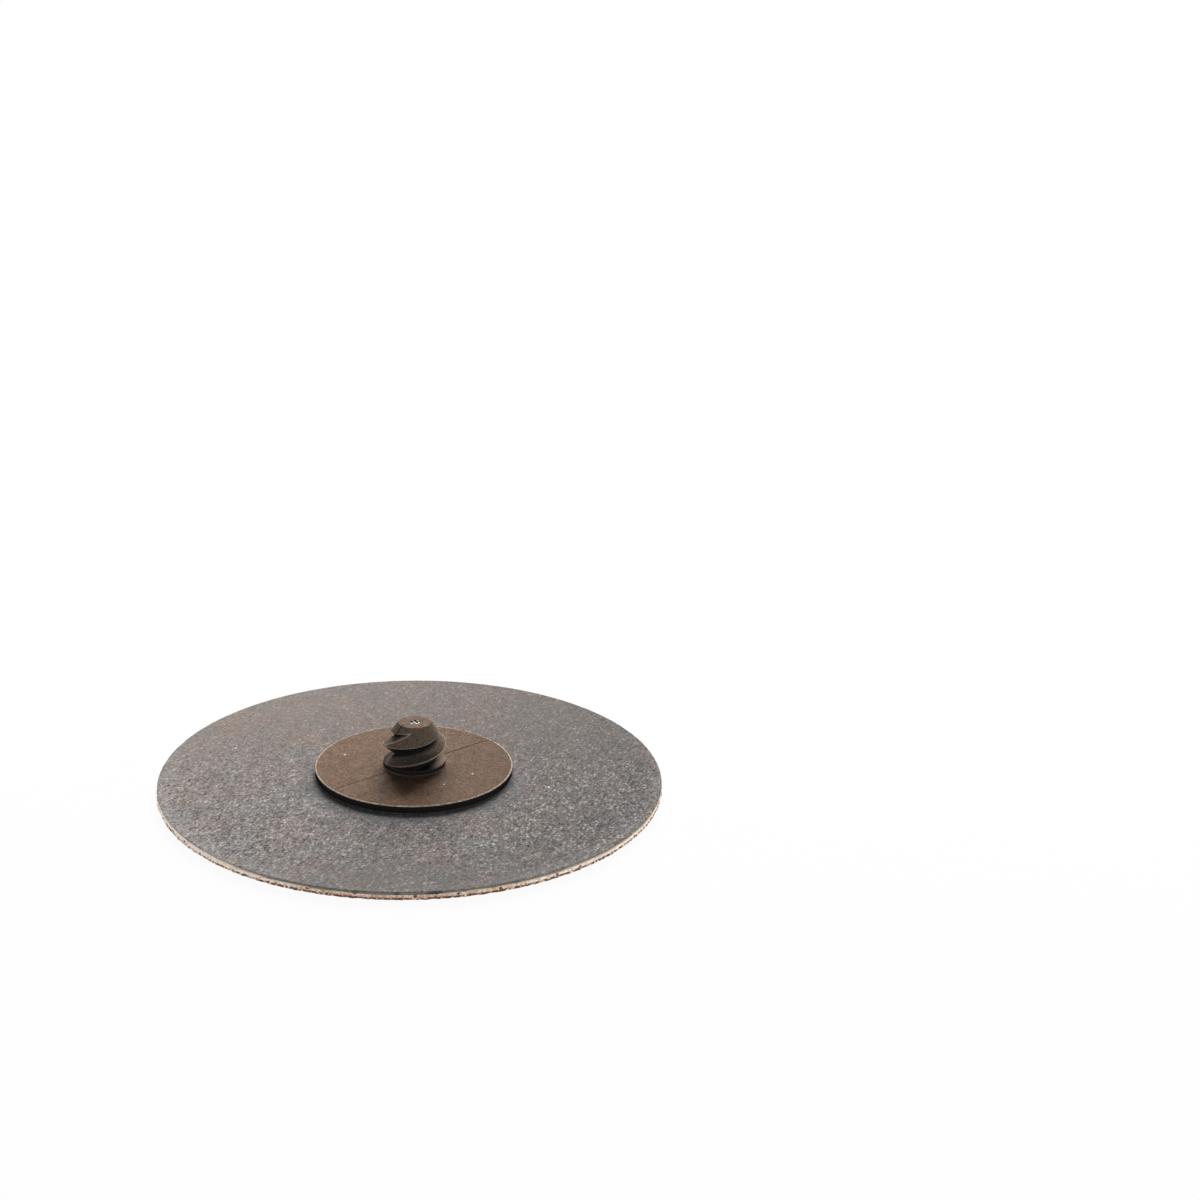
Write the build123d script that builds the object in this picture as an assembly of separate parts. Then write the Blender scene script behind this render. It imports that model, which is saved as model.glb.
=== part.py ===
from build123d import *
import math
import os

# A quick-change sanding disc, lying on its grit face with its threaded button up.
# The origin is the centre of the grit face, and +Z points up along the stud. Millimetres.

# Abrasive disc: three plies laid one on another
disc_diameter = 76.2
grain_thickness = 0.4
cloth_thickness = 0.4
backing_thickness = 0.4
# The cut leaves the grains a little proud of the two cloths.
grain_overhang = 0.1
# The die turns the upper edge of the backing down as it cuts through it.
die_roll = 0.08

# Flange of the moulded button
flange_diameter = 30.0
flange_thickness = 1.05
flange_edge_break = 0.12

# Collar at the foot of the stud
collar_diameter = 9.44
collar_height = 0.75
collar_edge_break = 0.08

# Thread of the stud, right-handed, measured upward from the flange's top face
thread_starts = 2
thread_lead = 6.3
thread_major_diameter = 9.56
thread_root_diameter = 6.1
crest_width = 0.26
root_width = 0.12
# The upper flank takes this share of what the crest and root leave of the pitch.
# The lower flank, which carries the pull, takes the rest.
upper_flank_share = 0.45
# Direction from the axis in which a crest leaves the flange's top face
first_crest_azimuth = 168.0

# Tip of the stud
stud_height = 6.85
tip_diameter = 5.0
tip_half_angle = 37.0
tip_edge_break = 0.16

# Shallow dimple that the moulding gate leaves in the tip
gate_diameter = 1.2
gate_floor_diameter = 0.7
gate_depth = 0.22

# The foot of a thread's ridge is sunk this far into the shank, so that the two fuse.
ridge_foot_depth = 0.5

# Levels, from the grit face up
cloth_level = grain_thickness
backing_level = cloth_level + cloth_thickness
button_level = backing_level + backing_thickness
flange_top = button_level + flange_thickness

cloth_diameter = disc_diameter - 2 * grain_overhang
thread_pitch = thread_lead / thread_starts


def disc(diameter, thickness, level):
    """A plain round ply with its lower face at a level."""
    ply = Cylinder(diameter / 2, thickness, align=(Align.CENTER, Align.CENTER, Align.MIN))
    return Pos(0, 0, level) * ply


def edged_disc(diameter, thickness, level, edge_break):
    """A round plate whose upper edge is broken by a narrow bevel."""
    plate = disc(diameter, thickness, level)
    top_edge = plate.edges().filter_by(GeomType.CIRCLE).sort_by(Axis.Z)[-1]
    return chamfer(top_edge, edge_break)


def ridge_section():
    """One ridge of the thread, cut along the axis: a crest between two sloping flanks."""
    major = thread_major_diameter / 2
    root = thread_root_diameter / 2
    flanks = thread_pitch - crest_width - root_width
    upper_flank = upper_flank_share * flanks
    lower_flank = flanks - upper_flank
    # The flanks run on at their own slopes into the shank.
    depth_factor = 1 + ridge_foot_depth / (major - root)
    foot = root - ridge_foot_depth
    outline = Polyline(
        (foot, -crest_width / 2 - lower_flank * depth_factor),
        (major, -crest_width / 2),
        (major, crest_width / 2),
        (foot, crest_width / 2 + upper_flank * depth_factor),
        close=True,
    )
    return (Plane.XZ * make_face(outline)).face()


def thread_ridge(azimuth):
    """A ridge swept up a helix, from below the flange's top face to above the tip."""
    height = stud_height + 2 * thread_pitch
    path = Edge.make_helix(thread_lead, height, thread_root_diameter / 2)
    ridge = Solid.sweep(ridge_section(), path, is_frenet=True)
    # One pitch of run-out at the foot only swaps the places of the starts.
    return Rot(0, 0, azimuth) * Pos(0, 0, -thread_pitch) * ridge


def thread_blank():
    """The shank with one ridge for each start, before the tip is shaped."""
    height = stud_height + 2 * thread_pitch
    blank = disc(thread_root_diameter, height, -thread_pitch)
    for start in range(thread_starts):
        blank += thread_ridge(first_crest_azimuth + start * 360 / thread_starts)
    return blank


def tip_envelope():
    """The turned outline that bounds the thread: a shank under a blunt cone."""
    major = thread_major_diameter / 2
    tip = tip_diameter / 2
    shoulder = stud_height - (major - tip) / math.tan(math.radians(tip_half_angle))
    # The shank stands a little clear of the crests, so that it never shaves them.
    clear = 0.5
    cone_foot = shoulder - clear / math.tan(math.radians(tip_half_angle))
    outline = make_face(
        Polyline(
            (0, 0),
            (major + clear, 0),
            (major + clear, cone_foot),
            (tip, stud_height),
            (0, stud_height),
            close=True,
        )
    )
    tip_corner = outline.vertices().sort_by(Axis.Y)[-2:].sort_by(Axis.X)[-1]
    outline = chamfer(tip_corner, tip_edge_break)
    return revolve(Plane.XZ * outline, Axis.Z)


def gate_dimple():
    """A blunt cone, wider at the top, that is cut from the middle of the tip."""
    top = gate_diameter / 2
    cone = Cone(gate_floor_diameter / 2, top, gate_depth, align=(Align.CENTER, Align.CENTER, Align.MAX))
    return Pos(0, 0, stud_height) * cone


def threaded_button():
    """One nylon moulding: flange, collar and two-start threaded stud."""
    stud = thread_blank() & tip_envelope()
    collar = edged_disc(collar_diameter, collar_height, 0, collar_edge_break)
    stud = stud + collar - gate_dimple()
    flange = edged_disc(flange_diameter, flange_thickness, button_level, flange_edge_break)
    return flange + Pos(0, 0, flange_top) * stud


parts = {
    "grain_coat": disc(disc_diameter, grain_thickness, 0),
    "abrasive_cloth": disc(cloth_diameter, cloth_thickness, cloth_level),
    "backing_cloth": edged_disc(cloth_diameter, backing_thickness, backing_level, die_roll),
    "threaded_button": threaded_button(),
}

os.makedirs("parts", exist_ok=True)
for name, shape in parts.items():
    export_step(shape, f"parts/{name}.step")
    size = shape.bounding_box().size
    print(f"{name}: {shape.volume:.1f} mm3, {size.X:.2f} x {size.Y:.2f} x {size.Z:.2f} mm")
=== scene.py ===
# %% [markdown]
# # A quick-change sanding disc
# The disc lies on its grit face with its threaded button up. It is a stack of four bonded
# pieces: a coat of abrasive grain, the cloth that carries the grain, a stiff backing cloth, and
# a moulded nylon button whose coarse thread screws into the holder of an air tool.
# Every piece is a body of revolution with something regular or random laid over it, so Geometry
# Nodes make them all: a short outline is turned into a mesh, and a rule then moves its points.
# The frame comes first. It holds the CAD solids, and everything here is built round them.

# %% Load the frame
import bpy
import math
from mathutils import Matrix, Vector


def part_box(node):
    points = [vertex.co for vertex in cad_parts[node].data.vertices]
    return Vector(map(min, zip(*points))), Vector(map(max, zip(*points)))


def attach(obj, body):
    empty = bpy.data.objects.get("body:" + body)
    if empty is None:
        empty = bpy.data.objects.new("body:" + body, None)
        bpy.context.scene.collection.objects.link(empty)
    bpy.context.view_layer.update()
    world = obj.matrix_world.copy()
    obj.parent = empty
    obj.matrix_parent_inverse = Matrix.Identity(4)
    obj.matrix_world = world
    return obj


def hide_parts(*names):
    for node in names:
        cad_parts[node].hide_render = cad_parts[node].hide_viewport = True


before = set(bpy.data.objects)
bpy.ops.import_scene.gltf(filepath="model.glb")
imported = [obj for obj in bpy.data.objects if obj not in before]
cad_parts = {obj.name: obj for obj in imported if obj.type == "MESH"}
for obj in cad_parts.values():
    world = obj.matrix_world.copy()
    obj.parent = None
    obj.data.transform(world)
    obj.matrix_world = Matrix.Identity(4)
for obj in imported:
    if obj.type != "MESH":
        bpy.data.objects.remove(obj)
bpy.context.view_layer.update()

MM = 0.001
full_turn = 2.0 * math.pi

disc_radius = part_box("grain_coat")[1].x
cloth_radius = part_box("abrasive_cloth")[1].x
cloth_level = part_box("abrasive_cloth")[0].z
backing_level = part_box("backing_cloth")[0].z
button_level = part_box("threaded_button")[0].z
flange_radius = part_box("threaded_button")[1].x
tip_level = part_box("threaded_button")[1].z
print("disc radius in mm", round(disc_radius / MM, 2), "height in mm", round(tip_level / MM, 2))

# %% [markdown]
# ## Node trees written like arithmetic
# A thread or a speckle is a formula, and a formula made of nodes soon becomes unreadable when
# each Math node is placed by hand. A small class helps: it wraps a socket, and adding or
# multiplying two of them adds one Math node. The same class serves Geometry Nodes and shaders.

# %% Helpers for node trees
def feed(tree, socket, value):
    """Links a socket to another one, or gives it a plain value."""
    if isinstance(value, Formula):
        value = value.socket
    if isinstance(value, bpy.types.NodeSocket):
        tree.links.new(value, socket)
    else:
        socket.default_value = value


def add_node(tree, kind, inputs=None, **settings):
    """Adds a node, sets its options, and feeds its inputs by name or by number."""
    made = tree.nodes.new(kind)
    for option, value in settings.items():
        setattr(made, option, value)
    for name, value in (inputs or {}).items():
        feed(tree, made.inputs[name], value)
    return made


class Formula:
    """A socket that can be used in arithmetic, one Math node for each step."""

    def __init__(self, tree, socket):
        self.tree = tree
        self.socket = socket

    def step(self, operation, *others):
        made = self.tree.nodes.new("ShaderNodeMath")
        made.operation = operation
        for place, value in enumerate((self, *others)):
            feed(self.tree, made.inputs[place], value)
        return Formula(self.tree, made.outputs[0])

    def __add__(self, other):
        return self.step("ADD", other)

    def __sub__(self, other):
        return self.step("SUBTRACT", other)

    def __rsub__(self, other):
        return self * -1.0 + other

    def __mul__(self, other):
        return self.step("MULTIPLY", other)

    def __truediv__(self, other):
        return self.step("DIVIDE", other)

    def most(self, other):
        return self.step("MAXIMUM", other)

    def soft_least(self, other, softness):
        return self.step("SMOOTH_MIN", other, softness)

    def soft_most(self, other, softness):
        return self.step("SMOOTH_MAX", other, softness)

    def ramp(self, low, high):
        """0 below one value, 1 above the other, and smooth between them."""
        made = add_node(self.tree, "ShaderNodeMapRange", interpolation_type="SMOOTHSTEP")
        for place, value in enumerate((self, low, high)):
            feed(self.tree, made.inputs[place], value)
        return Formula(self.tree, made.outputs[0])


def parts_of(tree, vector):
    """The three numbers of a vector socket."""
    split = add_node(tree, "ShaderNodeSeparateXYZ", {0: vector})
    return [Formula(tree, socket) for socket in split.outputs]


def vector_of(tree, x, y, z):
    """A vector socket made of three numbers."""
    return add_node(tree, "ShaderNodeCombineXYZ", {0: x, 1: y, 2: z}).outputs[0]


def scaled(tree, vector, factor):
    """A vector socket multiplied by a number, or by a vector of three."""
    if isinstance(factor, tuple):
        made = add_node(tree, "ShaderNodeVectorMath", {0: vector, 1: factor}, operation="MULTIPLY")
    else:
        values = {0: vector, "Scale": factor}
        made = add_node(tree, "ShaderNodeVectorMath", values, operation="SCALE")
    return made.outputs[0]


def noise(tree, vector, detail=2.0):
    """Noise from 0 to 1, one unit of the vector wide."""
    made = add_node(tree, "ShaderNodeTexNoise", {"Vector": vector, "Scale": 1.0, "Detail": detail})
    return Formula(tree, made.outputs[0])


def length_of(tree, vector):
    """The length of a vector socket."""
    made = add_node(tree, "ShaderNodeVectorMath", {0: vector}, operation="LENGTH")
    return Formula(tree, made.outputs["Value"])


def at_azimuth(radius, azimuth):
    """X and Y of a point at a distance from the axis and at an azimuth."""
    return radius * azimuth.step("COSINE"), radius * azimuth.step("SINE")


# The kind of socket that each kind of value needs. Geometry comes in without a value.
socket_kinds = {
    type(None): "NodeSocketGeometry",
    int: "NodeSocketInt",
    float: "NodeSocketFloat",
    tuple: "NodeSocketVector",
    bpy.types.Material: "NodeSocketMaterial",
}


def new_tree(name, kind, inputs, outputs):
    """A node tree with named inputs and outputs, and with the inputs' values as defaults.

    It gives back the tree, the inputs as formulas, and the node that its results go to.
    """
    tree = bpy.data.node_groups.new(name, kind)
    for label, value in inputs.items():
        socket_type = socket_kinds[type(value)]
        socket = tree.interface.new_socket(label, in_out="INPUT", socket_type=socket_type)
        if value is not None:
            socket.default_value = value
    for label, result in outputs.items():
        tree.interface.new_socket(label, in_out="OUTPUT", socket_type="NodeSocket" + result)
    print("tree", name, "with inputs", list(inputs))
    entry = tree.nodes.new("NodeGroupInput")
    given = {socket.name: Formula(tree, socket) for socket in entry.outputs if socket.name}
    return tree, given, tree.nodes.new("NodeGroupOutput")


print("helpers ready")

# %% [markdown]
# ## Turning an outline
# On a lathe, a round thing is one outline turned about an axis. The group below does the same
# with a flat grid: each row of the grid takes its place from one point of the outline, and the
# columns go once round. The Screw modifier could do it too, but a grid keeps the turn and the
# row as numbers, which the thread and the rough edges need. The outline is a mesh of loose
# points, so the script can write it as a list. X is the radius and Z the height, and Y carries
# one more number for the piece's own rule.

# %% The group that turns an outline
def make_turning_group():
    inputs = {"Outline": None, "Columns": 240}
    outputs = {"Mesh": "Geometry", "Turn": "Float", "Point": "Vector"}
    tree, given, exit_node = new_tree("Turned outline", "GeometryNodeTree", inputs, outputs)
    outline = {"Geometry": given["Outline"]}
    size = add_node(tree, "GeometryNodeAttributeDomainSize", outline, component="MESH")
    rows = Formula(tree, size.outputs["Point Count"])
    count = {"Vertices X": given["Columns"] + 1.0, "Vertices Y": rows}
    grid = add_node(tree, "GeometryNodeMeshGrid", {"Size X": 1.0, "Size Y": 1.0, **count})
    position = tree.nodes.new("GeometryNodeInputPosition").outputs[0]
    across, along, _ = parts_of(tree, position)
    row = ((along + 0.5) * (rows - 1.0)).step("ROUND")
    sample = add_node(
        tree,
        "GeometryNodeSampleIndex",
        {**outline, "Index": row, "Value": position},
        data_type="FLOAT_VECTOR",
        domain="POINT",
    )
    feed(tree, exit_node.inputs["Mesh"], grid.outputs["Mesh"])
    feed(tree, exit_node.inputs["Turn"], across + 0.5)
    feed(tree, exit_node.inputs["Point"], sample.outputs["Value"])
    return tree


turning_group = make_turning_group()
# Points this near are doubles: the two ends of a row, or all the points of a pole.
merge_distance = 0.0005 * MM


def turned(tree, given):
    """Places the group: the mesh, the turn from 0 to 1, and the outline's three numbers."""
    group = add_node(tree, "GeometryNodeGroup", node_tree=turning_group)
    for name in ("Outline", "Columns"):
        feed(tree, group.inputs[name], given[name])
    turn = Formula(tree, group.outputs["Turn"])
    return group.outputs["Mesh"], turn, parts_of(tree, group.outputs["Point"])


def bent_round(tree, mesh, radius, azimuth, height):
    """Moves a turned grid to its radius, azimuth and height, and closes its seam and poles."""
    place = vector_of(tree, *at_azimuth(radius, azimuth), height)
    moved = add_node(tree, "GeometryNodeSetPosition", {"Geometry": mesh, "Position": place})
    doubles = {"Geometry": moved.outputs[0], "Distance": merge_distance}
    closed = add_node(tree, "GeometryNodeMergeByDistance", doubles)
    return add_node(tree, "GeometryNodeSetShadeSmooth", {"Geometry": closed.outputs[0]}).outputs[0]


def stored(tree, geometry, name, value, **kind):
    """Keeps a value on a mesh as an attribute, which a material or a later step can read."""
    inputs = {"Geometry": geometry, "Name": name, "Value": value}
    return add_node(tree, "GeometryNodeStoreNamedAttribute", inputs, **kind).outputs[0]


def joined(tree, *geometries):
    """Several geometries as one."""
    made = tree.nodes.new("GeometryNodeJoinGeometry")
    for geometry in geometries:
        tree.links.new(geometry, made.inputs[0])
    return made.outputs[0]


def finish_tree(tree, exit_node, geometry, material, marked=None):
    """Every tree ends in real geometry and a material, because the export drops instances.

    Faces that carry a mark, a boolean attribute, can get a material of their own.
    """
    real = add_node(tree, "GeometryNodeRealizeInstances", {"Geometry": geometry})
    paint = {"Geometry": real.outputs[0], "Material": material}
    painted = add_node(tree, "GeometryNodeSetMaterial", paint)
    for mark, other in (marked or {}).items():
        named = {"Name": mark}
        chosen = add_node(tree, "GeometryNodeInputNamedAttribute", named, data_type="BOOLEAN")
        painted = add_node(
            tree,
            "GeometryNodeSetMaterial",
            {"Geometry": painted.outputs[0], "Selection": chosen.outputs[0], "Material": other},
        )
    feed(tree, exit_node.inputs[0], painted.outputs[0])


def new_object(name, data):
    """An object in the scene for a mesh, a lamp or a camera."""
    made = bpy.data.objects.new(name, data)
    bpy.context.scene.collection.objects.link(made)
    return made


def build_piece(name, outline, tree, values):
    """Runs a tree on an outline and keeps the result as a plain mesh."""
    points = bpy.data.meshes.new(name + " outline")
    points.from_pydata(outline, [], [])
    host = new_object(name + "_host", points)
    modifier = host.modifiers.new("Make", "NODES")
    modifier.node_group = tree
    sockets = {item.name: item.identifier for item in tree.interface.items_tree}
    for label, value in values.items():
        modifier[sockets[label]] = value
    depsgraph = bpy.context.evaluated_depsgraph_get()
    mesh = bpy.data.meshes.new_from_object(host.evaluated_get(depsgraph), depsgraph=depsgraph)
    bpy.data.objects.remove(host)
    # The host had no material, which leaves an empty slot before those that the tree sets.
    if mesh.materials[0] is None:
        mesh.materials.pop(index=0)
    mesh.calc_loop_triangles()
    print(name, len(mesh.loop_triangles), "triangles, materials", [m.name for m in mesh.materials])
    return new_object(name, mesh)


print("turning group ready")

# %% [markdown]
# ## Effects that several finishes share
# Three effects come back in more than one material, so each is a shader group with its own
# inputs. Mottle is a soft noise for uneven colour. Specks are small round dots for dust, burnt
# spots and pits, and their size is a share of their spacing. The cut edge is a mask of how near a
# point is to a round rim, because a ply looks different where the die went through it. All read
# Object coordinates, which stay put when the camera or the object moves.

# %% Shader groups
def object_place(tree):
    """The Object coordinates of the point that is shaded."""
    return add_node(tree, "ShaderNodeTexCoord").outputs["Object"]


def shares_of(tree, radius):
    """X and Y of the shaded point as shares of a radius, and its Z."""
    x, y, z = parts_of(tree, object_place(tree))
    return x / radius, y / radius, z


def make_mottle_group():
    inputs = {"Grain size": 1.0 * MM, "Stretch": (1.0, 1.0, 1.0), "Turn": 0.0, "Detail": 3.0}
    tree, given, exit_node = new_tree("Mottle", "ShaderNodeTree", inputs, {"Value": "Float"})
    swing = {"Vector": object_place(tree), "Angle": given["Turn"] * -1.0}
    swung = add_node(tree, "ShaderNodeVectorRotate", swing, rotation_type="Z_AXIS").outputs[0]
    stretch = {0: swung, 1: given["Stretch"]}
    stretched = add_node(tree, "ShaderNodeVectorMath", stretch, operation="DIVIDE").outputs[0]
    place = scaled(tree, stretched, given["Grain size"].step("POWER", -1.0))
    feed(tree, exit_node.inputs["Value"], noise(tree, place, detail=given["Detail"]))
    return tree


def make_speck_group():
    inputs = {"Spacing": 2.0 * MM, "Size": 0.1, "Share": 0.3}
    tree, given, exit_node = new_tree("Specks", "ShaderNodeTree", inputs, {"Mask": "Float"})
    place = scaled(tree, object_place(tree), given["Spacing"].step("POWER", -1.0))
    cells = add_node(tree, "ShaderNodeTexVoronoi", {"Vector": place, "Scale": 1.0})
    distance = Formula(tree, cells.outputs["Distance"])
    chance = parts_of(tree, cells.outputs["Color"])[0]
    near = distance.ramp(given["Size"], given["Size"] * 0.6)
    kept = chance.step("LESS_THAN", given["Share"])
    feed(tree, exit_node.inputs["Mask"], near * kept)
    return tree


def make_cut_edge_group():
    inputs = {"Radius": cloth_radius, "Width": 0.1 * MM}
    tree, given, exit_node = new_tree("Cut edge", "ShaderNodeTree", inputs, {"Mask": "Float"})
    off_axis = length_of(tree, scaled(tree, object_place(tree), (1.0, 1.0, 0.0)))
    rim = given["Radius"]
    width = given["Width"]
    feed(tree, exit_node.inputs["Mask"], off_axis.ramp(rim - width * 1.5, rim - width * 0.5))
    return tree


effects = {
    "mottle": make_mottle_group(),
    "specks": make_speck_group(),
    "cut edge": make_cut_edge_group(),
}


def effect(tree, name, **inputs):
    """One use of a shared effect in a material, with its own values."""
    group = add_node(tree, "ShaderNodeGroup", node_tree=effects[name])
    for label, value in inputs.items():
        feed(tree, group.inputs[label.replace("_", " ").capitalize()], value)
    return Formula(tree, group.outputs[0])


def blend(tree, share, first, second):
    """A colour between two others, each a socket or three numbers."""
    made = add_node(tree, "ShaderNodeMix", {0: share}, data_type="RGBA")
    for place, colour in ((6, first), (7, second)):
        feed(tree, made.inputs[place], (*colour, 1.0) if isinstance(colour, tuple) else colour)
    return made.outputs[2]


def new_material(name, roughness, specular):
    """A material with a Principled BSDF, whose constants sit on its own sockets."""
    material = bpy.data.materials.new(name)
    material.use_nodes = True
    tree = material.node_tree
    shader = tree.nodes["Principled BSDF"]
    shader.inputs["Roughness"].default_value = roughness
    shader.inputs["Specular IOR Level"].default_value = specular
    print("finish", name)
    return material, tree, shader


def bumped(tree, shader, height, distance):
    """Gives the shader a bump of a true height in metres."""
    relief = {"Distance": distance, "Height": height}
    feed(tree, shader.inputs["Normal"], add_node(tree, "ShaderNodeBump", relief).outputs[0])


print("shared effects:", list(effects))

# %% [markdown]
# ## The nylon of the button
# The button is moulded from dark brown nylon and left as it comes from the mould: matt, with a
# fine grain. Light and shade are painted onto it with masks worked out from where a point lies.
# The sloping faces get painted shade and a grey painted sheen. The thread's root, the ridges'
# undersides, the collar's and the flange's sides and the flange in front of the stud get painted
# shade. The edges get pale painted highlights, and one side is painted darker than the other.
# The thread's edges come as an attribute, because only the rule that makes the thread knows
# where they are. The mould's halves meet in a plane through the axis, and leave a thin dark line
# across the flange and over the stud. The spot where the gate was torn off is white from stress,
# with painted glints and painted shade in its gaps, and a little dust sits on top.

# %% Sizes of the button that its finish needs
flange_thickness = 1.05 * MM
collar_height = 0.75 * MM
flange_top = button_level + flange_thickness
collar_top = flange_top + collar_height
major_radius = 4.78 * MM
root_radius = 3.05 * MM
tip_radius = 2.5 * MM
tip_half_angle = math.radians(37.0)
gate_radius = 0.58 * MM
parting_azimuth = math.radians(37.0)
print("stud height in mm", round((tip_level - flange_top) / MM, 2))


# %% Masks on the nylon
def painted_shade_on(x, y, z, off_axis, facing, on_stud):
    """Painted shade: the thread's root and undersides, the collar and the flange's side are painted
    dark.
    """
    below_tip = (tip_level - z) * math.tan(tip_half_angle) + tip_radius - off_axis
    inside = below_tip.ramp(0.1 * MM, 0.4 * MM) * z.ramp(tip_level - 0.3 * MM, tip_level - 0.6 * MM)
    root = off_axis.ramp(root_radius + 0.7 * MM, root_radius + 0.1 * MM) * on_stud * inside
    upright = facing.ramp(0.3, 0.1) * z.ramp(collar_top + 0.05 * MM, collar_top - 0.05 * MM)
    # Painted shade that deepens toward the collar, away from the stud's lit side, and spares the
    # sloping faces
    low = z.ramp(collar_top + 1.3 * MM, collar_top - 0.1 * MM) * x.ramp(4.2 * MM, 2.2 * MM) * 0.9
    low = low * (1.0 - facing.ramp(0.4, 0.75) * facing.ramp(0.97, 0.9))
    painted_shade = root.most(upright).most(low * on_stud).most(facing.ramp(0.0, -0.35))
    # A painted shadow of the stud lies in front of the collar, on the flange and on the lowest
    # ridge.
    painted_stud_shadow = off_axis.ramp(major_radius + 3.6 * MM, major_radius - 0.4 * MM)
    painted_stud_shadow = painted_stud_shadow * y.ramp(0.0, -4.5 * MM) * x.ramp(-6.0 * MM, -1.0 * MM)
    painted_stud_shadow = painted_stud_shadow * z.ramp(collar_top + 2.5 * MM, collar_top + 2.0 * MM)
    return painted_shade.most(painted_stud_shadow * 0.6)


def painted_edge_highlights(tree, z, off_axis, fine):
    """Painted highlights: the edges of the flange and of the thread are painted pale."""
    flange_edge = off_axis.ramp(flange_radius - 0.25 * MM, flange_radius - 0.17 * MM)
    flange_edge = flange_edge * z.ramp(flange_top - 0.11 * MM, flange_top - 0.06 * MM)
    # The painted highlight is weaker on the lowest ridge.
    weaker_low_down = z.ramp(collar_top + 0.6 * MM, collar_top + 2.4 * MM) * 0.6 + 0.4
    edge_highlight = add_node(tree, "ShaderNodeAttribute", attribute_name="edge_highlight")
    thread_edge = Formula(tree, edge_highlight.outputs["Fac"]) * weaker_low_down
    uneven = fine.ramp(0.36, 0.62) * 0.65 + 0.35
    return (flange_edge * 0.85 * uneven).most(thread_edge * 0.42)


def parting_line(x, y, z, off_axis, cloudy, paled):
    """The dark line where the halves of the mould met, opened to a crack on one side of the tip."""
    offset = (y * math.cos(parting_azimuth) - x * math.sin(parting_azimuth)).step("ABSOLUTE")
    line = offset.ramp(0.15 * MM, 0.05 * MM) * cloudy.ramp(0.35, 0.6) * (1.0 - paled)
    line = line * y.ramp(-12.0 * MM, 8.0 * MM)
    on_tip = z.ramp(tip_level - 2.4 * MM, tip_level - 1.9 * MM) * off_axis.ramp(1.6 * MM, 2.0 * MM)
    crack = offset.ramp(0.16 * MM, 0.07 * MM) * on_tip * x.ramp(0.0, -0.5 * MM)
    return line.most(crack)


# %% Nylon
def make_nylon():
    material, tree, shader = new_material("Moulded nylon", 0.75, 0.02)
    cloudy = effect(tree, "mottle", grain_size=1.6 * MM)
    fine = effect(tree, "mottle", grain_size=0.30 * MM)
    uneven = (cloudy * 0.25 + fine * 0.75).ramp(0.36, 0.64)
    colour = blend(tree, uneven, (0.118, 0.070, 0.042), (0.232, 0.148, 0.098))
    coordinates = add_node(tree, "ShaderNodeTexCoord")
    x, y, z = parts_of(tree, coordinates.outputs["Object"])
    facing = parts_of(tree, coordinates.outputs["Normal"])[2]
    off_axis = (x * x + y * y).step("SQRT")
    on_stud = z.ramp(flange_top + 0.05 * MM, flange_top + 0.2 * MM)
    # Painted shade and sheen: the sloping faces of the thread and of the tip are painted darker and
    # greyer.
    sloping = facing.ramp(0.1, 0.4) * facing.ramp(0.96, 0.88) * on_stud
    slope_shade_and_sheen = blend(tree, fine.ramp(0.3, 0.7), (0.078, 0.062, 0.048), (0.150, 0.120, 0.094))
    colour = blend(tree, sloping * 0.85, colour, slope_shade_and_sheen)
    # Painted shade in the root, under the ridges, on the upright sides and in front of the stud
    painted_shade = painted_shade_on(x, y, z, off_axis, facing, on_stud)
    colour = blend(tree, painted_shade * 0.97, colour, (0.006, 0.008, 0.010))
    # Pale painted highlights on the edges of the flange and of the thread
    paled = painted_edge_highlights(tree, z, off_axis, fine)
    colour = blend(tree, paled, colour, (0.80, 0.69, 0.55))
    line = parting_line(x, y, z, off_axis, cloudy, paled)
    colour = blend(tree, line * 0.9, colour, (0.02, 0.014, 0.012))
    # Where the gate was torn off, the nylon is white from stress, with painted glints, and its dark
    # gaps are painted shade.
    at_tip = z.ramp(tip_level - 1.0 * MM, tip_level - 0.5 * MM)
    gate = off_axis.ramp(gate_radius * 1.38, gate_radius * 1.2) * at_tip
    torn = effect(tree, "mottle", grain_size=0.55 * MM, detail=0.0)
    torn = blend(tree, torn.ramp(0.45, 0.49), (0.01, 0.01, 0.01), (1.0, 0.98, 0.95))
    colour = blend(tree, gate, colour, torn)
    dust = effect(tree, "specks", spacing=2.15 * MM, size=0.09, share=0.12)
    fine_dust = effect(tree, "specks", spacing=0.5 * MM, size=0.25, share=0.12)
    colour = blend(tree, fine_dust * facing.ramp(0.5, 0.8) * 0.16, colour, (0.9, 0.85, 0.8))
    colour = blend(tree, dust, colour, (1.0, 0.97, 0.92))
    # Painted light: the flange is painted darker toward +X and a little lighter behind, and the
    # stud's side toward +X is painted lighter where the key light grazes it.
    painted_falloff = x / flange_radius * -0.12 + y / flange_radius * 0.04 + 0.95
    painted_falloff = painted_falloff + on_stud * x.ramp(2.0 * MM, 4.6 * MM) * 0.35
    feed(tree, shader.inputs["Base Color"], scaled(tree, colour, painted_falloff))
    bumped(tree, shader, fine, 0.05 * MM)
    return material


nylon = make_nylon()

# %% [markdown]
# ## The threaded button
# The stud carries a coarse right-handed thread with two starts, so it locks in a turn or less.
# A section swept up a helix and cut with a cone would make it, but the cuts leave ragged faces.
# Written as a rule, the thread is a wave: at any height and azimuth, the distance along the axis
# to the nearest crest gives the radius. The flanks are straight, the upper one is a little
# steeper, and soft minimum and maximum round the crest and the root as the mould does. The cone
# of the tip is one more limit on the radius. Columns of the mesh wind with the thread, so each
# crest follows a line of points and stays sharp with few of them.

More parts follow.
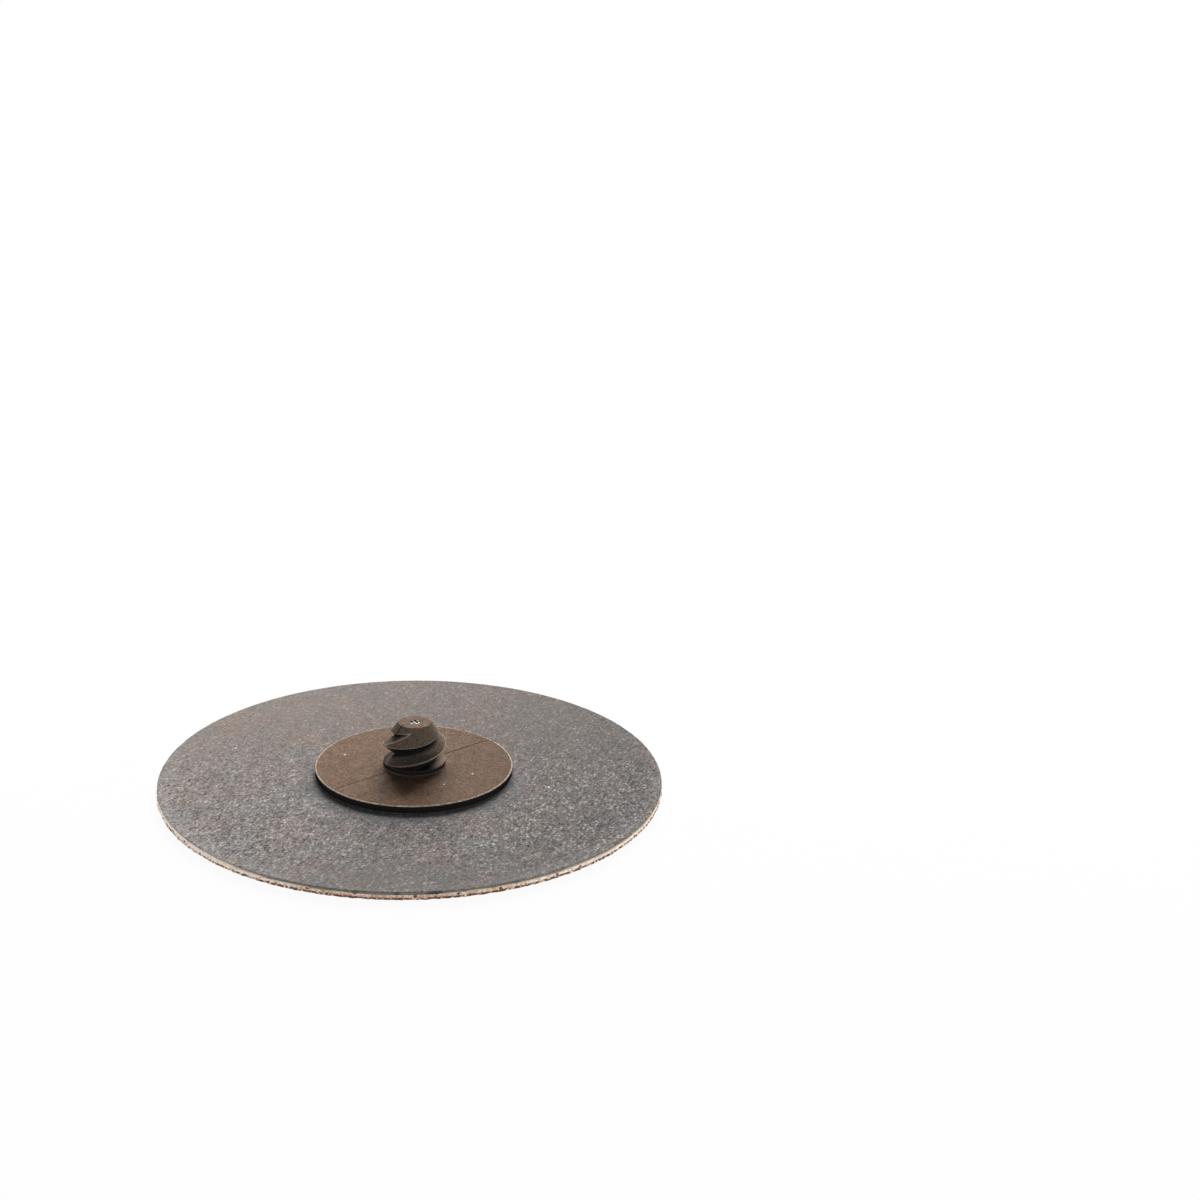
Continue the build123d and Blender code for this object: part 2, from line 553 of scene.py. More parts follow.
# %% Sizes of the button
collar_radius = 4.72 * MM
collar_edge = 0.08 * MM
stud_foot_radius = collar_radius + 0.1 * MM
tip_round = 0.22 * MM
gate_depth = 0.2 * MM
thread_rows = 92
button_values = {
    "Columns": 288,
    "Flange top": flange_top,
    "Lead": 6.3 * MM,
    "Starts": 2,
    "Major radius": major_radius,
    "Root radius": root_radius,
    "Crest width": 0.26 * MM,
    "Root width": 0.12 * MM,
    "Upper flank share": 0.45,
    "Crest azimuth": math.radians(168.0),
    "Edge softness": 0.09 * MM,
    "Gate radius": gate_radius,
    "Nub height": 0.19 * MM,
    "Seed": 4.2,
    "Seam azimuth": parting_azimuth,
    "Seam start": stud_foot_radius,
    "Seam end": flange_radius - 0.3 * MM,
    "Material": nylon,
}
print("pitch in mm", button_values["Lead"] / button_values["Starts"] / MM)


# %% The tree of the button
def make_button_tree():
    inputs = {"Outline": None, **button_values}
    outputs = {"Button": "Geometry"}
    tree, given, exit_node = new_tree("Threaded button", "GeometryNodeTree", inputs, outputs)
    mesh, turn, (limit, core, height) = turned(tree, given)
    climb = height - given["Flange top"]
    on_stud = climb.step("GREATER_THAN", 0.001 * MM)
    azimuth = (turn + climb / given["Lead"] * on_stud) * full_turn

    # Distance along the axis from the nearest crest, above it positive
    pitch = given["Lead"] / given["Starts"]
    flanks = pitch - given["Crest width"] - given["Root width"]
    upper = flanks * given["Upper flank share"]
    lower = flanks - upper
    half_crest = given["Crest width"] * 0.5
    half_root = given["Root width"] * 0.5
    crest_height = (azimuth - given["Crest azimuth"]) / full_turn * given["Lead"]
    off_crest = (climb - crest_height).step(
        "WRAP", half_crest + upper + half_root, (half_crest + lower + half_root) * -1.0
    )

    # Straight flanks on both sides, rounded into the crest and the root
    major = given["Major radius"]
    depth = major - given["Root radius"]
    softness = given["Edge softness"]
    upper_line = major - (off_crest - half_crest) / upper * depth
    lower_line = major + (off_crest + half_crest) / lower * depth
    thread = upper_line.soft_least(lower_line, softness).soft_least(major, softness)
    thread = thread.soft_most(given["Root radius"], softness * 2.0)
    stud = thread.soft_most(core, softness * 0.5).soft_least(limit, softness)
    radius = add_node(tree, "ShaderNodeMix", {0: on_stud, 2: limit, 3: stud}, data_type="FLOAT")
    radius = Formula(tree, radius.outputs[0])

    # Edges, for the painted highlight: the crest, and where the turned tip cuts the thread
    crest_edge = (off_crest - half_crest).step("ABSOLUTE").ramp(softness, 0.0)
    crest_edge = crest_edge * (limit - major).step("GREATER_THAN", 0.0)
    cut_edge = (limit - thread).step("ABSOLUTE").ramp(softness, 0.0)
    above_collar = (thread - core).step("GREATER_THAN", 0.3 * MM)
    highlighted = crest_edge.most(cut_edge) * above_collar * on_stud

    # The torn nub that the gate leaves in its dimple. The noise is read on a point of the tip,
    # so that all the points of the last row, which meet in the middle, get one height.
    near_gate = radius.ramp(given["Gate radius"] * 0.9, given["Gate radius"] * 0.3) * on_stud
    torn_at = vector_of(tree, *at_azimuth(radius / (0.16 * MM), azimuth), given["Seed"])
    torn = noise(tree, torn_at, detail=1.0)
    height = height + near_gate * torn.ramp(0.3, 0.5) * given["Nub height"]
    mesh = stored(tree, mesh, "edge_highlight", highlighted, data_type="FLOAT", domain="POINT")
    body = bent_round(tree, mesh, radius, azimuth, height)

    # The witness line of the mould on the flange: a low prism on each side of the stud
    length = given["Seam end"] - given["Seam start"]
    rod = {"Vertices": 3, "Radius": 0.06 * MM, "Depth": length}
    prism = add_node(tree, "GeometryNodeMeshCylinder", rod, fill_type="NGON")
    middle = (given["Seam end"] + given["Seam start"]) * 0.5
    place = {
        "Geometry": prism.outputs["Mesh"],
        "Translation": vector_of(tree, middle, 0.0, given["Flange top"]),
        "Rotation": (0.0, math.pi / 2.0, 0.0),
    }
    laid = add_node(tree, "GeometryNodeTransform", place)
    ridges = []
    for side in (0.0, math.pi):
        swing = vector_of(tree, 0.0, 0.0, given["Seam azimuth"] + side)
        swung = {"Geometry": laid.outputs[0], "Rotation": swing}
        ridges.append(add_node(tree, "GeometryNodeTransform", swung).outputs[0])
    finish_tree(tree, exit_node, joined(tree, *ridges, body), given["Material"])
    return tree


button_tree = make_button_tree()

# %% [markdown]
# The outline runs from the middle of the underside, out to the flange's edge, in again over its
# top, and up the stud to the tip. On the stud, X is the limit that the turned tip sets and Y the
# core that is filled whatever the thread does, such as the collar at the foot.

# %% Outline of the button
def spaced(start, end, count):
    """Evenly spaced values from start up to, but not including, end."""
    return [start + (end - start) * step / count for step in range(count)]


def arc(out, up, radius, start, end, count):
    """Points of a round edge about the centre (out, up), between two angles in degrees."""
    angles = [math.radians(angle) for angle in (*spaced(start, end, count), end)]
    return [(out + radius * math.cos(a), up + radius * math.sin(a)) for a in angles]


def button_outline():
    edge = 0.16 * MM
    lower_edge = 0.04 * MM
    sole = flange_radius - lower_edge
    plain = [(r, button_level) for r in spaced(0.0, sole, 4)]
    plain += [(sole, button_level), (flange_radius, button_level + lower_edge)]
    plain += [(flange_radius, flange_top - 2 * edge)]
    plain += arc(flange_radius - edge, flange_top - edge, edge, 0.0, 90.0, 5)
    plain += [(r, flange_top) for r in spaced(flange_radius - 0.6 * MM, stud_foot_radius, 10)]
    plain += [(stud_foot_radius, flange_top)]
    rows = [(radius, 0.0, height) for radius, height in plain]

    # Along the collar the limit lies outside the thread, so that it cuts nothing.
    free = 8.0 * MM
    shoulder = collar_radius - collar_edge
    for radius, height in ((collar_radius + 0.03 * MM, 0.03 * MM), (collar_radius, 0.1 * MM)):
        rows.append((free, radius, flange_top + height))
    for height in spaced(flange_top + 0.15 * MM, collar_top - collar_edge, 9):
        rows.append((free, collar_radius, height))
    rounded = arc(shoulder, collar_top - collar_edge, collar_edge, 0.0, 90.0, 3)
    rows += [(free, r, z) for r, z in rounded]
    rows += [(free, r, collar_top) for r in spaced(shoulder - 0.12 * MM, root_radius, 9)]

    # The rounded edge of the tip starts where its own slope is the cone's.
    slope = math.degrees(tip_half_angle)
    reach = tip_radius - tip_round * math.tan(math.radians((90.0 - slope) / 2.0))
    rounded = arc(reach, tip_level - tip_round, tip_round, slope, 90.0, 4)
    cone_top_radius, cone_top = rounded[0]
    for height in spaced(collar_top, cone_top, thread_rows):
        widening = (cone_top - height) * math.tan(tip_half_angle)
        rows.append((cone_top_radius + widening, 0.0, height))
    rows += [(r, 0.0, z) for r, z in rounded]
    rows += [(r, 0.0, tip_level) for r in spaced(reach - 0.4 * MM, gate_radius + 0.06 * MM, 4)]
    rows += [(gate_radius + 0.04 * MM, 0.0, tip_level), (gate_radius, 0.0, tip_level - 0.03 * MM)]
    shares = (0.86, 0.66, 0.46, 0.28, 0.13, 0.0)
    rows += [(gate_radius * share, 0.0, tip_level - gate_depth) for share in shares]
    return rows


threaded_button = build_piece("Threaded_button", button_outline(), button_tree, button_values)
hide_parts("threaded_button")
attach(threaded_button, "root")

# %% [markdown]
# ## The backing cloth
# A stiff woven cloth, filled with grey resin, makes the disc flat and springy, and from above it
# is most of what one sees. Its grey is mottled at several sizes: wide cool and warm clouds,
# patches, and fine threads drawn out along the diagonal of the weave, with short pale flecks
# where they come through the resin. Light is painted on as well: the cloth is painted lighter
# toward one side, and the flange's shadow is painted in front of the button. At the rim the die
# has left a thin line, dark in front, partly its own colour and partly painted shade. It is
# painted tan at the sides where side light falls, palest at the left, and brown behind, darkened
# against the key light. A picture of cloth would do this too, but noise on Object coordinates
# needs no file and never repeats. The relief is real geometry, but shallow.

# %% The line at the rim
# The rim's colours change from the middle of its front, which lies a little to the left.
front_middle = -2.0 * MM / cloth_radius


def rim_line(tree, across, along, z, patches):
    """The colour of the backing's cut edge: the die's thin line, and under it the pale yarns."""
    off_middle = (across - front_middle).step("ABSOLUTE")
    off_front = off_middle.ramp(0.08, 0.28)
    at_side = off_middle.ramp(0.40, 0.70) * (1.0 - across.ramp(0.2, 0.5) * 0.7)
    patchy = patches.ramp(0.4, 0.6)
    # The line is dark in front, partly its own colour and partly painted shade. It is painted
    # greyer away from the front, tan toward the sides where side light falls, and dark brown behind
    # to offset the key light.
    line = blend(tree, patchy, (0.030, 0.040, 0.046), (0.17, 0.19, 0.17))
    line = blend(tree, off_front * 0.8, line, (0.20, 0.20, 0.18))
    line = blend(tree, at_side, line, (0.62, 0.56, 0.44))
    line = blend(tree, along.ramp(0.0, 0.3), line, (0.09, 0.06, 0.04))
    # The line is widest in front.
    line_foot = off_front * (0.11 * MM) + at_side * (0.13 * MM) + backing_level
    yarns = z.ramp(line_foot + 0.05 * MM, line_foot - 0.02 * MM)
    # The yarns under it are stained and in painted shade in front, painted pale toward the sides,
    # and painted darker behind.
    stained_and_shaded = blend(tree, patchy, (0.44, 0.29, 0.20), (0.80, 0.60, 0.44))
    cut_yarns = blend(tree, at_side, stained_and_shaded, (0.92, 0.82, 0.70))
    cut_yarns = blend(tree, along.ramp(-0.1, 0.3), cut_yarns, (0.36, 0.27, 0.19))
    return blend(tree, yarns, line, cut_yarns)


# %% Finish of the backing cloth
warp_azimuth = math.radians(62.0)


def make_backing_finish():
    material, tree, shader = new_material("Grey resin-filled cloth", 0.8, 0.05)
    clouds = effect(tree, "mottle", grain_size=7.0 * MM, detail=2.0)
    patches = effect(tree, "mottle", grain_size=1.8 * MM, detail=3.0)
    along_warp = {"stretch": (1.9, 1.0, 1.0), "turn": warp_azimuth}
    threads = effect(tree, "mottle", grain_size=0.34 * MM, detail=3.0, **along_warp)
    grit = effect(tree, "mottle", grain_size=0.26 * MM, detail=2.0)
    base = blend(tree, clouds.ramp(0.35, 0.65), (0.177, 0.164, 0.157), (0.192, 0.163, 0.149))
    # Painted light: one side is painted lighter than the other.
    across, along, z = shares_of(tree, cloth_radius)
    painted_falloff = across * -0.31 + 1.01
    # Near the rim in front the cloth is a little darker and shows fewer threads. Behind the
    # button it is warmer and a little darker, and its texture is calmer.
    near_front_rim = along.ramp(-0.65, -0.95)
    behind = along.ramp(-0.35, 0.55)
    base = blend(tree, behind, base, scaled(tree, base, (0.97, 0.915, 0.87)))
    texture = (patches - 0.5) * 0.7 + (threads - 0.5) * 2.4 + (grit - 0.5) * 2.6
    at_left = across.ramp(0.0, -0.7) * (1.0 - behind)
    raised = 1.0 - near_front_rim * 0.5 - behind * 0.5 + at_left * 0.3
    # In front and at the sides the last two or three millimetres are paler.
    off_axis = (across * across + along * along).step("SQRT")
    off_middle = (across - front_middle).step("ABSOLUTE")
    paled = off_axis.ramp(0.92, 0.985) * (1.0 - behind)
    paled = paled * (off_middle.ramp(0.05, 0.6) * 0.26 + 0.03)
    shade = texture * raised - near_front_rim * 0.05 + paled + painted_falloff
    base = scaled(tree, base, shade.soft_most(0.25, 0.1))
    flecks = (threads * 0.5 + patches * 0.15 + grit * 0.35).ramp(0.56, 0.64)
    flecks = flecks * (1.0 - near_front_rim * 0.6 - behind * 0.6)
    base = blend(tree, flecks * 0.65, base, (0.62, 0.58, 0.55))
    dust = effect(tree, "specks", spacing=5.0 * MM, size=0.06, share=0.2)
    base = blend(tree, dust, base, (0.95, 0.92, 0.86))
    # A painted shadow of the flange: round the button in front the cloth is painted darker and
    # bluish.
    ring = (off_axis * cloth_radius).ramp(flange_radius + 4.5 * MM, flange_radius + 0.5 * MM)
    base = blend(tree, ring * along.ramp(0.105, -0.21) * 0.5, base, (0.150, 0.163, 0.172))
    edge = effect(tree, "cut edge", radius=cloth_radius, width=0.06 * MM)
    line = rim_line(tree, across, along, z, patches)
    feed(tree, shader.inputs["Base Color"], blend(tree, edge, base, line))
    bumped(tree, shader, threads * 0.6 + grit * 0.4, 0.12 * MM)
    return material


backing_finish = make_backing_finish()


# %% [markdown]
# The tree below makes both cloths, and takes the backing's sizes as its defaults. Y of the
# outline says how much of the relief a row gets, and the die's rough cut is a second noise that
# only eats into the rim.

# %% The tree of a cloth ply
backing_values = {
    "Columns": 560,
    "Rim radius": cloth_radius,
    "Relief depth": 0.05 * MM,
    "Relief size": 0.9 * MM,
    "Cut depth": 0.07 * MM,
    "Cut size": 0.8 * MM,
    "Seed": 3.0,
    "Material": backing_finish,
}


def make_cloth_tree():
    inputs = {"Outline": None, **backing_values}
    tree, given, exit_node = new_tree("Cloth ply", "GeometryNodeTree", inputs, {"Ply": "Geometry"})
    mesh, turn, (radius, weight, height) = turned(tree, given)
    azimuth = turn * full_turn
    # The noise is read on a point of the disc, so it has no seam.
    x, y = at_azimuth(radius, azimuth)
    size = given["Relief size"]
    relief = noise(tree, vector_of(tree, x / size, y / size, given["Seed"]))
    size = given["Cut size"]
    frayed = noise(tree, vector_of(tree, x / size, y / size, height / size + given["Seed"]))
    at_rim = radius.ramp(given["Rim radius"] - 0.3 * MM, given["Rim radius"])
    radius = radius - at_rim * frayed.ramp(0.35, 0.75) * given["Cut depth"]
    height = height - weight * relief * given["Relief depth"]
    ply = bent_round(tree, mesh, radius, azimuth, height)
    finish_tree(tree, exit_node, ply, given["Material"])
    return tree


cloth_tree = make_cloth_tree()


# %% Build the backing cloth
def backing_outline():
    roll = 0.14 * MM
    rows = [(0.0, 0.0, backing_level), (flange_radius, 0.0, backing_level)]
    rows += [(cloth_radius - 0.3 * MM, 0.0, backing_level), (cloth_radius, 0.0, backing_level)]
    roll_foot = button_level - roll
    rows += [(cloth_radius, 0.0, z) for z in spaced(backing_level + 0.05 * MM, roll_foot, 2)]
    rows += [(r, 0.3, z) for r, z in arc(cloth_radius - roll, roll_foot, roll, 0.0, 90.0, 6)]
    step = 0.4 * MM
    ring = cloth_radius - roll - step
    while ring > flange_radius - 1.0 * MM:
        rows.append((ring, 1.0, button_level))
        ring -= step
    # Under the flange the ply is flat, so that the button sits on it.
    rows += [(r * MM, 0.0, button_level) for r in (13.5, 9.0, 4.0, 0.0)]
    return rows


backing_cloth = build_piece("Backing_cloth", backing_outline(), cloth_tree, backing_values)
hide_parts("backing_cloth")
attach(backing_cloth, "root")

# %% [markdown]
# ## The abrasive cloth
# Under the backing lies the cloth that carries the grain. Only its cut edge shows: cream cotton,
# frayed a little by the die, and tan where resin has soaked in, most of all in front. Light is
# painted on it too: darker in front, paler at the sides, and darker behind to offset the key
# light. It is laminated and stiff, so it is made as a ply with the tree above and not as a
# loose sheet.

# %% Abrasive cloth
def make_cotton():
    material, tree, shader = new_material("Cream cotton cut edge", 0.9, 0.1)
    yarns = effect(tree, "mottle", grain_size=0.6 * MM, detail=3.0)
    fibres = effect(tree, "mottle", grain_size=0.16 * MM, detail=2.0)
    pale = blend(tree, fibres.ramp(0.3, 0.7), (0.95, 0.76, 0.64), (1.0, 0.99, 0.93))
    stained_and_shaded = blend(tree, fibres.ramp(0.3, 0.7), (0.50, 0.30, 0.20), (0.84, 0.60, 0.45))
    # In front the yarns are stained with resin and painted darker as shade. Toward the sides most
    # of them are clean and painted paler, as side light falls there.
    across, along, _ = shares_of(tree, cloth_radius)
    at_side = (across - front_middle).step("ABSOLUTE").ramp(0.30, 0.80)
    at_side = at_side * (1.0 - across.ramp(0.2, 0.5) * 0.4)
    clean_and_side_lit = (yarns + at_side * 0.45).ramp(0.46, 0.62)
    colour = blend(tree, clean_and_side_lit, stained_and_shaded, pale)
    colour = blend(tree, yarns.ramp(0.58, 0.66) * 0.5, colour, (0.50, 0.34, 0.25))
    burnt = effect(tree, "specks", spacing=0.7 * MM, size=0.45, share=0.25)
    colour = blend(tree, burnt * 0.85, colour, (0.07, 0.035, 0.025))
    # Behind, the whole edge is painted darker, to offset the key light that falls on it.
    painted_darker_behind = scaled(tree, colour, (0.42, 0.36, 0.30))
    colour = blend(tree, along.ramp(-0.1, 0.3), colour, painted_darker_behind)
    feed(tree, shader.inputs["Base Color"], colour)
    bumped(tree, shader, fibres, 0.04 * MM)
    return material


cotton = make_cotton()


def abrasive_cloth_outline():
    rows = [(0.0, 0.0, cloth_level), (cloth_radius - 0.4 * MM, 0.0, cloth_level)]
    rows += [(cloth_radius, 0.0, z) for z in spaced(cloth_level, backing_level, 7)]
    rows += [(cloth_radius, 0.0, backing_level), (cloth_radius - 0.4 * MM, 0.0, backing_level)]
    rows += [(0.0, 0.0, backing_level)]
    return rows


# No relief, since its faces are hidden, but a rougher cut with more columns to carry it
cotton_values = {
    **backing_values,
    "Columns": 1400,
    "Relief depth": 0.0,
    "Cut depth": 0.16 * MM,
    "Cut size": 0.3 * MM,
    "Seed": 7.0,
    "Material": cotton,
}
abrasive_cloth = build_piece("Abrasive_cloth", abrasive_cloth_outline(), cloth_tree, cotton_values)
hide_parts("abrasive_cloth")
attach(abrasive_cloth, "root")

# %% [markdown]
# ## The coat of grain
# Sharp grains stand in resin on the cloth's lower face, under a gold size coat. Up close it is a
# field of lumps about half a millimetre wide. A smooth Voronoi field gives lumps that touch one
# another, which noise alone does not. On the cut edge, bare brown grain and pale resin show. The
# die has also broken grains free of the resin, and single dark ones stand out: those are
# instances of one small rock with few faces, whose mark brings them a material of their own.

# %% Finish of the grain
def make_grain_finish():
    material, tree, shader = new_material("Gold coated grain", 0.55, 0.4)
    lumps = effect(tree, "mottle", grain_size=0.9 * MM, detail=3.0)
    fine = effect(tree, "mottle", grain_size=0.25 * MM, detail=2.0)
    face = blend(tree, fine.ramp(0.3, 0.7), (0.60, 0.325, 0.018), (0.82, 0.475, 0.032))
    face = blend(tree, lumps.ramp(0.55, 0.75) * 0.5, face, (0.42, 0.26, 0.03))
    pits = effect(tree, "specks", spacing=1.0 * MM, size=0.16, share=0.35)
    face = blend(tree, pits * 0.6, face, (0.12, 0.08, 0.02))
    edge = effect(tree, "cut edge", radius=disc_radius - 0.08 * MM, width=0.14 * MM)
    # On the cut edge the bare grain is brown, with pale resin between, and pink at the very bottom.
    across, along, z = shares_of(tree, disc_radius)
    patches = effect(tree, "mottle", grain_size=0.45 * MM, detail=2.0)
    # Toward the sides fewer patches are brown: painted light, where side light falls.
    at_side = across.step("ABSOLUTE").ramp(0.35, 0.85) * (1.0 - across.ramp(0.0, 0.3) * 0.7)
    brown = (patches - at_side * 0.16).ramp(0.38, 0.46) * z.ramp(0.06 * MM, 0.12 * MM)
    broken = blend(tree, fine.ramp(0.35, 0.65), (0.90, 0.52, 0.36), (1.0, 0.82, 0.68))
    broken = blend(tree, brown * 0.97, broken, (0.11, 0.030, 0.014))
    # Behind, the edge is painted darker to offset the key light that falls on it.
    painted_darker_behind = scaled(tree, broken, (0.45, 0.38, 0.32))
    broken = blend(tree, along.ramp(-0.1, 0.3), broken, painted_darker_behind)
    feed(tree, shader.inputs["Base Color"], blend(tree, edge, face, broken))
    bumped(tree, shader, fine, 0.08 * MM)
    return material


def make_bare_grain_finish():
    material, tree, shader = new_material("Bare brown grain", 0.45, 0.5)
    tint = effect(tree, "mottle", grain_size=0.8 * MM)
    colour = blend(tree, tint.ramp(0.35, 0.65), (0.05, 0.016, 0.010), (0.26, 0.10, 0.06))
    feed(tree, shader.inputs["Base Color"], colour)
    return material


gold_grain = make_grain_finish()
bare_grain = make_bare_grain_finish()


# %% Loose grains round the rim
coat_values = {
    "Columns": 720,
    "Rim radius": disc_radius,
    "Lump size": 0.62 * MM,
    "Lump depth": 0.16 * MM,
    "Cut depth": 0.22 * MM,
    "Loose grains": 460,
    "Grain radius": 0.24 * MM,
    "Ring radius": disc_radius - 0.32 * MM,
    "Ring height": 0.26 * MM,
    "Seed": 4,
    "Material": gold_grain,
    "Grain material": bare_grain,
}


def loose_grains(tree, given):
    """Instances of one small faceted rock, each with its own place, turn and size."""

    def chance(low, high, number):
        made = add_node(tree, "FunctionNodeRandomValue", data_type="FLOAT")
        for place, value in ((2, low), (3, high), ("Seed", given["Seed"] + number)):
            feed(tree, made.inputs[place], value)
        return Formula(tree, made.outputs[1])

    line = add_node(tree, "GeometryNodeMeshLine", {"Count": given["Loose grains"]})
    around = chance(0.0, full_turn, 1.0)
    ring = given["Ring radius"] + chance(-0.10 * MM, 0.10 * MM, 2.0)
    level = given["Ring height"] + chance(-0.02 * MM, 0.08 * MM, 3.0)
    spot = vector_of(tree, *at_azimuth(ring, around), level)
    place = {"Geometry": line.outputs[0], "Position": spot}
    scattered = add_node(tree, "GeometryNodeSetPosition", place)
    ball = {"Radius": given["Grain radius"], "Subdivisions": 1}
    rock = add_node(tree, "GeometryNodeMeshIcoSphere", ball)
    facets = {"Geometry": rock.outputs[0], "Shade Smooth": False}
    flat = add_node(tree, "GeometryNodeSetShadeSmooth", facets).outputs[0]
    marked = stored(tree, flat, "loose_grain", True, data_type="BOOLEAN", domain="FACE")
    turns = [chance(0.0, 6.28, number) for number in (4.0, 5.0, 6.0)]
    sizes = [chance(0.45, 1.0, 7.0), chance(0.45, 1.0, 8.0), chance(0.45, 0.8, 9.0)]
    rocks = {
        "Points": scattered.outputs[0],
        "Instance": marked,
        "Rotation": vector_of(tree, *turns),
        "Scale": vector_of(tree, *sizes),
    }
    return add_node(tree, "GeometryNodeInstanceOnPoints", rocks).outputs[0]


# %% The tree of the grain coat
def make_grain_tree():
    inputs = {"Outline": None, **coat_values}
    outputs = {"Coat": "Geometry"}
    tree, given, exit_node = new_tree("Grain coat", "GeometryNodeTree", inputs, outputs)
    mesh, turn, (radius, weight, height) = turned(tree, given)
    azimuth = turn * full_turn
    size = given["Lump size"]
    x, y = at_azimuth(radius, azimuth)
    place = vector_of(tree, x / size, y / size, height / size)
    field = {"Vector": place, "Scale": 1.0, "Smoothness": 0.35}
    cells = add_node(tree, "ShaderNodeTexVoronoi", field, feature="SMOOTH_F1")
    hollow = Formula(tree, cells.outputs["Distance"]).ramp(0.15, 0.85)
    rough = noise(tree, scaled(tree, place, 2.3))
    relief = (hollow * 0.7 + rough * 0.3).step("MINIMUM", 1.0)
    at_rim = radius.ramp(given["Rim radius"] - 0.4 * MM, given["Rim radius"])
    radius = radius - at_rim * relief * given["Cut depth"]
    height = height + weight * relief * given["Lump depth"]
    coat = bent_round(tree, mesh, radius, azimuth, height)

    bare = {"loose_grain": given["Grain material"]}
    whole = joined(tree, loose_grains(tree, given), coat)
    finish_tree(tree, exit_node, whole, given["Material"], bare)
    return tree


grain_tree = make_grain_tree()


# %% Build the grain coat
def grain_outline():
    step = 0.36 * MM
    rings = [0.0]
    while rings[-1] < disc_radius - 2.5 * step:
        rings.append(rings[-1] + step)
    rows = [(ring, 1.0, 0.0) for ring in rings]
    rows += [(disc_radius - step, 1.0, 0.0), (disc_radius - 0.14 * MM, 0.8, 0.0)]
    rows += [(disc_radius, 0.0, z) for z in spaced(0.1 * MM, cloth_level, 4)]
    top = (disc_radius - 0.02 * MM, disc_radius - 0.5 * MM, 0.0)
    rows += [(ring, 0.0, cloth_level) for ring in top]
    return rows


grain_coat = build_piece("Grain_coat", grain_outline(), grain_tree, coat_values)
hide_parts("grain_coat")
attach(grain_coat, "root")

# %% [markdown]
# ## Floor and background
# The picture is a product shot on white. The floor is pale and matt, so that it throws light
# back at the rim and takes the object's shadow. For the camera it is lifted almost to white by
# a little emission behind a Light Path switch, which puts no extra light on the object.

# %% Floor and world
def make_floor():
    half = 1.5
    # A hair below the disc, so that the two faces don't lie in one plane
    level = -0.01 * MM
    mesh = bpy.data.meshes.new("Floor")
    corners = [(x * half, y * half, level) for x, y in ((-1, -1), (1, -1), (1, 1), (-1, 1))]
    mesh.from_pydata(corners, [], [(0, 1, 2, 3)])
    material = bpy.data.materials.new("White floor")
    material.use_nodes = True
    tree = material.node_tree
    tree.nodes.remove(tree.nodes["Principled BSDF"])
    matt = add_node(tree, "ShaderNodeBsdfDiffuse", {"Color": (0.86, 0.86, 0.86, 1.0)})
    glow = add_node(tree, "ShaderNodeEmission", {"Color": (1.0, 1.0, 1.0, 1.0), "Strength": 1.0})
    path = tree.nodes.new("ShaderNodeLightPath")
    seen = Formula(tree, path.outputs["Is Camera Ray"])
    seen = seen.most(path.outputs["Is Glossy Ray"]).most(path.outputs["Is Transmission Ray"])
    # Far from the object nothing casts a shadow, so there the floor is as white as the world.
    away = length_of(tree, object_place(tree)).ramp(0.06, 0.30)
    shares = {0: seen * (away * 0.055 + 0.945), 1: matt.outputs[0], 2: glow.outputs[0]}
    mixed = add_node(tree, "ShaderNodeMixShader", shares)
    feed(tree, tree.nodes["Material Output"].inputs["Surface"], mixed.outputs[0])
    mesh.materials.append(material)
    return new_object("Floor", mesh)


def make_world():
    world = bpy.data.worlds.new("Studio")
    world.use_nodes = True
    tree = world.node_tree
    background = tree.nodes["Background"]
    background.inputs["Color"].default_value = (1.0, 1.0, 1.0, 1.0)
    path = tree.nodes.new("ShaderNodeLightPath")
    seen = Formula(tree, path.outputs["Is Camera Ray"])
    feed(tree, background.inputs["Strength"], seen * 0.98 + 0.02)
    bpy.context.scene.world = world


make_floor()
make_world()
print("floor and world ready")

# %% [markdown]
# ## Light
# Four soft boxes stand for a studio with pale walls. The large one behind the disc gives most of
# the light. It comes over the object towards the camera, so upward faces are bright, the faces
# towards the camera fall dark, and the stud's soft shadow lies in front of it. Three weak ones,
# low on the left, on the right and in front, lift the rim. The camera sees none of them.

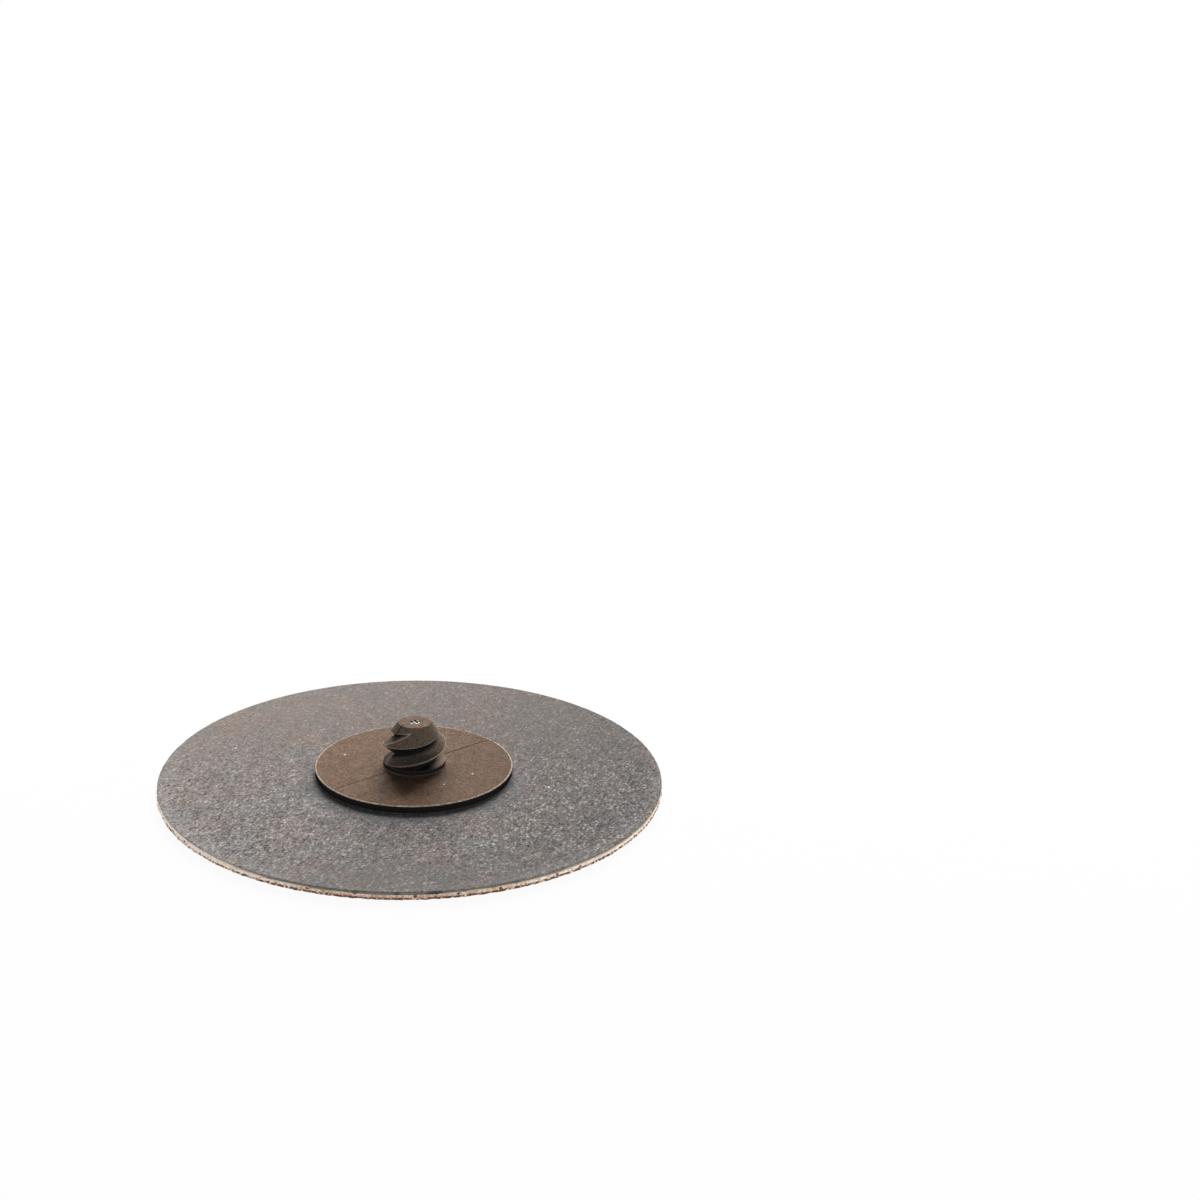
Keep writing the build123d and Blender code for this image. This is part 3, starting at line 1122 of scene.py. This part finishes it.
# %% Lamps
def soft_box(name, place, width, height, power):
    """A rectangular area lamp at a place, turned to the disc."""
    lamp = bpy.data.lights.new(name, "AREA")
    lamp.shape = "RECTANGLE"
    lamp.size = width
    lamp.size_y = height
    lamp.energy = power
    holder = new_object(name, lamp)
    holder.location = place
    holder.rotation_mode = "QUATERNION"
    holder.rotation_quaternion = (Vector(place) * -1.0).to_track_quat("-Z", "Y")
    holder.visible_camera = False
    print(name, power, "W")


soft_box("Back_wall", (0.08, 0.72, 0.33), 0.6, 0.42, 17.0)
soft_box("Left_wall", (-0.60, 0.05, 0.06), 0.6, 0.09, 1.2)
soft_box("Right_wall", (0.60, -0.05, 0.07), 0.6, 0.10, 1.8)
soft_box("Front_wall", (0.0, -0.78, 0.06), 1.1, 0.10, 3.2)

# %% [markdown]
# ## Camera
# The camera was found from the outlines of the disc, the flange and the stud in the picture. It
# stands 231 mm off at about 25 degrees above the floor, and looks past the disc, which so sits
# low and left in the frame. Its place and angles are written out, and the axes are built from
# them, because a Track To constraint would put the disc in the middle.

# %% Camera
camera_distance = 230.88 * MM
camera_elevation = math.radians(24.812)
camera_yaw = math.radians(7.488)
camera_pitch = math.radians(17.887)
camera_roll = math.radians(2.480)
focal_pixels = 1479.4
image_pixels = 1200.0


def make_camera():
    data = bpy.data.cameras.new("Camera")
    data.sensor_width = 36.0
    data.lens = data.sensor_width * focal_pixels / image_pixels
    data.clip_start = 0.01
    data.clip_end = 20.0
    level_ahead = Vector((math.sin(camera_yaw), math.cos(camera_yaw), 0.0))
    level_right = Vector((math.cos(camera_yaw), -math.sin(camera_yaw), 0.0))
    ahead = level_ahead * math.cos(camera_pitch) - Vector((0.0, 0.0, math.sin(camera_pitch)))
    level_up = level_right.cross(ahead)
    right = level_right * math.cos(camera_roll) + level_up * math.sin(camera_roll)
    up = level_up * math.cos(camera_roll) - level_right * math.sin(camera_roll)
    place = Vector((0.0, -math.cos(camera_elevation), math.sin(camera_elevation))) * camera_distance
    axes = Matrix((right, up, -ahead)).transposed()
    camera = new_object("Camera", data)
    camera.matrix_world = Matrix.Translation(place) @ axes.to_4x4()
    return camera


bpy.context.scene.camera = make_camera()
bpy.context.scene.view_settings.view_transform = "Standard"
print("lens in mm", round(bpy.context.scene.camera.data.lens, 2))
